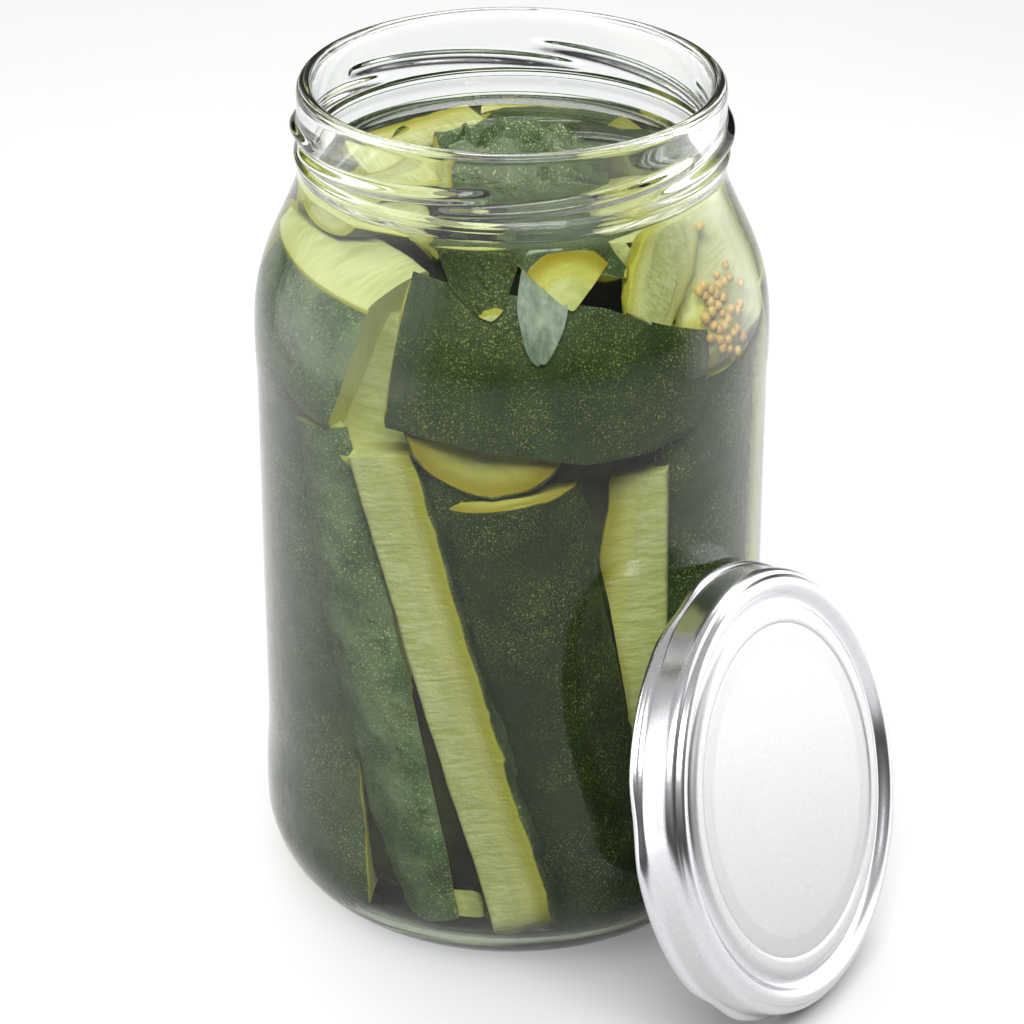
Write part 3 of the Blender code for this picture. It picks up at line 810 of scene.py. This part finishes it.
def front_spears(pile):
    """The upright spears of the lower half that show in front, each leaning to the right."""
    def spear(top, foot, skin, radius, **shape):
        pile.add(place(*foot), place(*top), outward(*skin), radius, **shape)
    spear((-82, 114, 26), (-56, 8, 25), (-70,), 17, half_angle=55, tone=0.2)
    spear((-55, 110, 35), (-21, 8, 29), (-45,), 10.5, half_angle=55, tips=(0.7, 0.75), tone=0.85)
    spear((-36, 106, 38), (-9, 8, 33), (200,), 11, half_angle=50, ripe=0.9)
    spear((-41, 106, 43.5), (-5, 7, 38.5), (113,), 12.5, half_angle=45, ripe=0.3)
    spear((-21, 108, 27.5), (11, 8, 25), (2,), 12, half_angle=62, tone=0.12)
    spear((-2, 102, 31), (32, 8, 27), (12,), 14, half_angle=60, tone=0.0, ripe=0.9)
    spear((40, 103, 41.5), (47, 12, 37), (-130,), 15, half_angle=45, tips=(1, 0.7), ripe=0.6)
    spear((61, 119, 28), (64, 8, 26), (57,), 15, half_angle=60, tone=0.1)
    spear((80, 128, 34), (76, 9, 30), (165,), 14, half_angle=85, tone=0.3)


def back_spears(pile, draw):
    """The spears round the back of the lower half."""
    for i in range(BACK_SPEARS):
        bearing = 108 + i * 30 + draw.uniform(-4, 4)
        lean_by = draw.uniform(8, 22)
        top = place(bearing - lean_by / 2, draw.uniform(100, 112), 28)
        foot = place(bearing + lean_by / 2, 8, 26)
        turn = bearing + draw.choice((0, 0, 70, -70))
        tone = 0.15 + 0.12 * (i % 3)
        pile.add(foot, top, outward(turn), draw.uniform(16, 19), 58, tone=tone, ripe=0.3)


def upper_pieces(pile):
    """The halves, chunks and wedges laid across the top that show in front."""
    def piece(start, end, skin, radius, **shape):
        pile.add(place(*start), place(*end), outward(*skin), radius, **shape)
    piece((-135, 137.5, 34), (-21.1, 135, 26.3), (-73, -1), 34, half_angle=45, tone=1.0, ripe=0.15,
          skew=0.3, slant=-0.8)
    piece((-39, 129, 29), (-36, 105, 35), (142, 0), 13, half_angle=88, tone=0.5, ripe=0.35, gap=3.0)
    piece((-55, 126.5, 31), (69, 116, 35), (11, 0.1), 25, half_angle=36, core=18, bow=10, tips=(1, 0.65),
          tone=0.1, skew=0.5, gap=1.5)
    piece((-6, 117.5, 20), (-6, 116, 40.6), (-6, -6), 14.5, half_angle=88, ripe=0.9, tone=0.15)
    piece((15, 141, 18), (15, 137, 41.5), (8, 9), 11.5, half_angle=50, ripe=1.0)
    piece((-12, 147, 30), (-5, 136, 41), (-6, 0.4), 9, half_angle=52, tips=(1, 0.3), tone=0.0)
    piece((6, 146, 37), (31, 141, 40), (20, 1.5), 6, half_angle=52, tips=(0.6, 0.25), tone=0.4)
    piece((58, 147, 34), (36, 132, 41.5), (220, 0.1), 7.5, half_angle=88, tips=(0.8, 0.75), ripe=0.3,
          peeled=True)
    piece((64, 148, 32), (70, 122, 42), (235, 0.1), 14, half_angle=88, tips=(1, 0.75), ripe=0.15)
    piece((52, 130, 36.5), (66, 120, 36), (60, -0.2), 7, half_angle=100, tips=(0.5, 0.5), peeled=True)


def back_pieces(pile, draw):
    """The chunks laid round the back of the upper half."""
    for i in range(BACK_PIECES):
        bearing = 118 + i * 40 + draw.uniform(-6, 6)
        z = draw.uniform(124, 134)
        start = place(bearing - 26, z + draw.uniform(-3, 5), 27)
        end = place(bearing + 26, z + draw.uniform(-5, 3), 27)
        skin = outward(bearing, draw.uniform(-0.8, 0.4))
        pile.add(start, end, skin, draw.uniform(17, 20), 85, tone=0.2 + 0.15 * (i % 3), ripe=0.3)


def top_pieces(pile):
    """What shows through the mouth: one chunk above the brine and pieces just under it."""
    def piece(start, end, skin, radius, **shape):
        pile.add(Vector(start), Vector(end), Vector(skin), radius, **shape)
    piece((-14, 2, 142), (15, 10, 137.5), (-0.1, -0.15, 1), 14, half_angle=110, tips=(0.75, 0.7),
          ceiling=JAR_HEIGHT, tone=0.5, crumple=4.0)
    piece((-29, 8, 144), (-4, 28, 143), (-0.3, 0.5, -0.8), 9, half_angle=80, ripe=0.5)
    piece((-6, 31, 143), (14, 31, 143), (0.1, 0.4, -1), 8, half_angle=80, ripe=0.45)
    piece((10, 22, 143), (31, 3, 143), (0.5, 0.5, 1), 8, half_angle=70, tone=0.05, crumple=0.8)
    piece((22, 4, 143), (14, -20, 144), (0.4, -0.3, -1), 9, half_angle=75, ripe=0.2)
    piece((-28, -4, 144), (-12, 10, 143), (-0.2, -0.2, -1), 7, half_angle=70, ripe=0.3)


def make_core(finish):
    """What is packed behind the pieces that show: no light comes through the middle of the jar, so its
    near-black colour is painted shade.
    """
    profile = [(0, 9)] + [(inner_r(z) - CORE_MARGIN, z) for z in (9, 14, 20, 30, 50, 80, 105)]
    profile += [(28, 116), (20, 124), (8, 129), (0, 130)]
    core = turned("pickles_core", profile, 64, finish)
    core.data.transform(Matrix.Translation(AXIS * MM))
    return core


def make_flap(finish):
    """The thin sheet of peel that hangs in front of the slab. Its pale, partly clear whitish look is
    painted reflection on the glass.
    """
    verts = []
    for layer in (0.0, PEEL_THICKNESS):
        for i in range(PEEL_ROWS):
            t = i / (PEEL_ROWS - 1)
            for j in range(PEEL_COLUMNS):
                s = j / (PEEL_COLUMNS - 1) - 0.5
                width = PEEL_SPAN * math.sin(math.pi * (0.14 + 0.82 * t)) ** 0.6
                width += 1.2 * noise.noise(Vector((t * 4, s * 3, 2)))
                bearing = PEEL_BEARING - 3 * t + s * width
                z = PEEL_TOP_Z - PEEL_LENGTH * t + 0.8 * noise.noise(Vector((s * 3, t * 2, 7))) * t
                wave = 0.5 * math.sin(3.1 * t + 4 * s) + 0.3 * noise.noise(Vector((s * 6, t * 6, 1)))
                r = min(PEEL_R + wave * 0.4, inner_r(z) - 0.8) - layer
                verts.append(tuple((press(place(bearing, z, r)) + AXIS) * MM))
    faces = []
    across = PEEL_COLUMNS
    size = PEEL_ROWS * across
    for i in range(PEEL_ROWS - 1):
        for j in range(across - 1):
            a = i * across + j
            faces.append((a, a + 1, a + across + 1, a + across))
            faces.append((a + size, a + size + across, a + size + across + 1, a + size + 1))
    edge = list(range(across)) + [i * across + across - 1 for i in range(1, PEEL_ROWS)]
    edge += [(PEEL_ROWS - 1) * across + j for j in range(across - 2, -1, -1)]
    edge += [i * across for i in range(PEEL_ROWS - 2, 0, -1)]
    for a, b in zip(edge, edge[1:] + edge[:1]):
        faces.append((b, a, a + size, b + size))
    return mesh_object("peel_flap_painted_reflection", verts, faces, finish)


def make_seeds(finish, draw):
    """Mustard seeds caught on the pale pieces at the right."""
    bm = bmesh.new()
    spots = []
    while len(spots) < SEEDS:
        bearing, z, spread_by = draw.choice(SEED_CLUSTERS)
        z += draw.gauss(0, spread_by * 1.2)
        spot = place(bearing + draw.gauss(0, spread_by), z, inner_r(z) - CONTENTS_GAP - SEED_R - 0.2)
        if all((spot - other).length > 1.5 * SEED_R for other in spots):
            spots.append(spot)
    for i, spot in enumerate(spots):
        spot = (spot + AXIS) * MM
        size = SEED_R * MM * draw.uniform(0.85, 1.1)
        made = bmesh.ops.create_icosphere(bm, subdivisions=3, radius=size)
        for vertex in made["verts"]:
            dent = 1 + 0.08 * noise.noise(vertex.co / MM * 1.4 + Vector((i, 0, 0)))
            vertex.co = vertex.co * dent + spot
    mesh = bpy.data.meshes.new("mustard_seeds")
    bm.to_mesh(mesh)
    bm.free()
    obj = bpy.data.objects.new("mustard_seeds", mesh)
    bpy.context.scene.collection.objects.link(obj)
    mesh.materials.append(finish)
    mesh.shade_smooth()
    return obj


# Camera, floor and light


def make_camera():
    """Looks down on the jar from the front, as far away as the photograph's own view."""
    camera = bpy.data.cameras.new("camera")
    camera.lens = FOCAL_PX / PICTURE * SENSOR
    camera.sensor_width = SENSOR
    camera.clip_start = 0.01
    obj = bpy.data.objects.new("camera", camera)
    tilt = math.radians(ELEVATION)
    away = Vector((0, -math.cos(tilt), math.sin(tilt))) * DISTANCE
    obj.location = (AXIS + Vector((0, 0, AIM_Z)) + away) * MM
    obj.rotation_euler = (math.pi / 2 - tilt, 0, 0)
    bpy.context.scene.collection.objects.link(obj)
    bpy.context.scene.camera = obj


def soft_box(name, spot, aim, width, height, power):
    lamp = bpy.data.lights.new(name, "AREA")
    lamp.shape = "RECTANGLE"
    lamp.size = width
    lamp.size_y = height
    lamp.energy = power
    obj = bpy.data.objects.new(name, lamp)
    obj.location = spot
    obj.rotation_euler = (Vector(aim) - Vector(spot)).to_track_quat("-Z", "Y").to_euler()
    bpy.context.scene.collection.objects.link(obj)


def make_studio(finish):
    """A white floor, soft cards at both sides, two large boxes and a pale sky."""
    half = FLOOR_HALF
    corners = [(-half, -half, 0), (half, -half, 0), (half, half, 0), (-half, half, 0)]
    floor = mesh_object("floor", corners, [(0, 1, 2, 3)], finish, 0)
    floor.location.z = -FLOOR_DROP
    aim = (0, 0, 0.13)
    for i, size in enumerate(CARD_SIZES):
        power = CARD_POWER * size * size
        left = (-0.315 - 0.004 * i, -0.056, 0.17)
        right = (0.30 + 0.004 * i, 0.115, 0.17)
        soft_box(f"card_left_{i + 1}", left, aim, 0.5 * size, 0.34 * size, power * 1.2)
        soft_box(f"card_right_{i + 1}", right, aim, 0.34 * size, 0.34 * size, power)
    soft_box("box_front", (0.0, -0.8, 1.03), (0, 0, 0.08), 1.0, 0.4, 16.0)
    soft_box("box_back", (0.0, 0.75, 0.9), (0, 0.25, 0), 1.4, 0.5, 7.0)
    world = bpy.data.worlds.new("studio")
    world.use_nodes = True
    tree = world.node_tree
    sky = tree.nodes.new("ShaderNodeTexCoord")
    axes = tree.nodes.new("ShaderNodeSeparateXYZ")
    ramp = tree.nodes.new("ShaderNodeValToRGB")
    for stop, position, colour in zip(ramp.color_ramp.elements, (0.15, 0.75), (SKY_LOW, SKY_HIGH)):
        stop.position = position
        stop.color = colour
    tree.links.new(sky.outputs["Generated"], axes.inputs[0])
    tree.links.new(axes.outputs["Z"], ramp.inputs["Fac"])
    tree.links.new(ramp.outputs["Color"], tree.nodes["Background"].inputs["Color"])
    tree.nodes["Background"].inputs["Strength"].default_value = SKY_STRENGTH
    bpy.context.scene.world = world
    scene = bpy.context.scene
    scene.view_settings.view_transform = "Standard"
    scene.cycles.use_denoising = True
    scene.cycles.sample_clamp_indirect = 6.0
    scene.cycles.max_bounces = 20
    scene.cycles.transmission_bounces = 16
    scene.cycles.glossy_bounces = 6
    scene.cycles.transparent_max_bounces = 24
    scene.cycles.caustics_reflective = False
    scene.cycles.caustics_refractive = False


def main():
    make_camera()
    make_studio(floor_finish())
    cucumber = cucumber_finish()
    draw = random.Random(RANDOM_SEED)
    jar = make_jar(glass_finish("glass_clear", DRY_GLOSS), glass_finish("glass_wet", WET_GLOSS))
    surface = brine_finish("brine_surface", SURFACE_GLOSS)
    brine = make_brine(surface, brine_finish("brine_wetting_glass", WET_GLOSS))
    lid = make_lid(steel_finish(), compound_finish())
    pile = Pile()
    front_spears(pile)
    back_spears(pile, draw)
    spears = pile.finish("cucumber_spears", cucumber)
    upper = Pile()
    upper.count = pile.count
    upper_pieces(upper)
    back_pieces(upper, draw)
    top_pieces(upper)
    chunks = upper.finish("cucumber_chunks", cucumber)
    core = make_core(core_finish())
    peel = make_flap(peel_finish())
    seeds = make_seeds(seed_finish(), draw)
    for piece, node, slot in (
            (jar, "jar", "glass"), (lid, "lid", "lid_metal"),
            (spears, "pickles", "cucumber"), (chunks, "pickles", "cucumber"),
            (core, "pickles", "cucumber"), (peel, "pickles", "cucumber"),
            (seeds, "pickles", "cucumber")):
        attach(piece, "root")
        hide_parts(node)
    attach(brine, "root")


main()
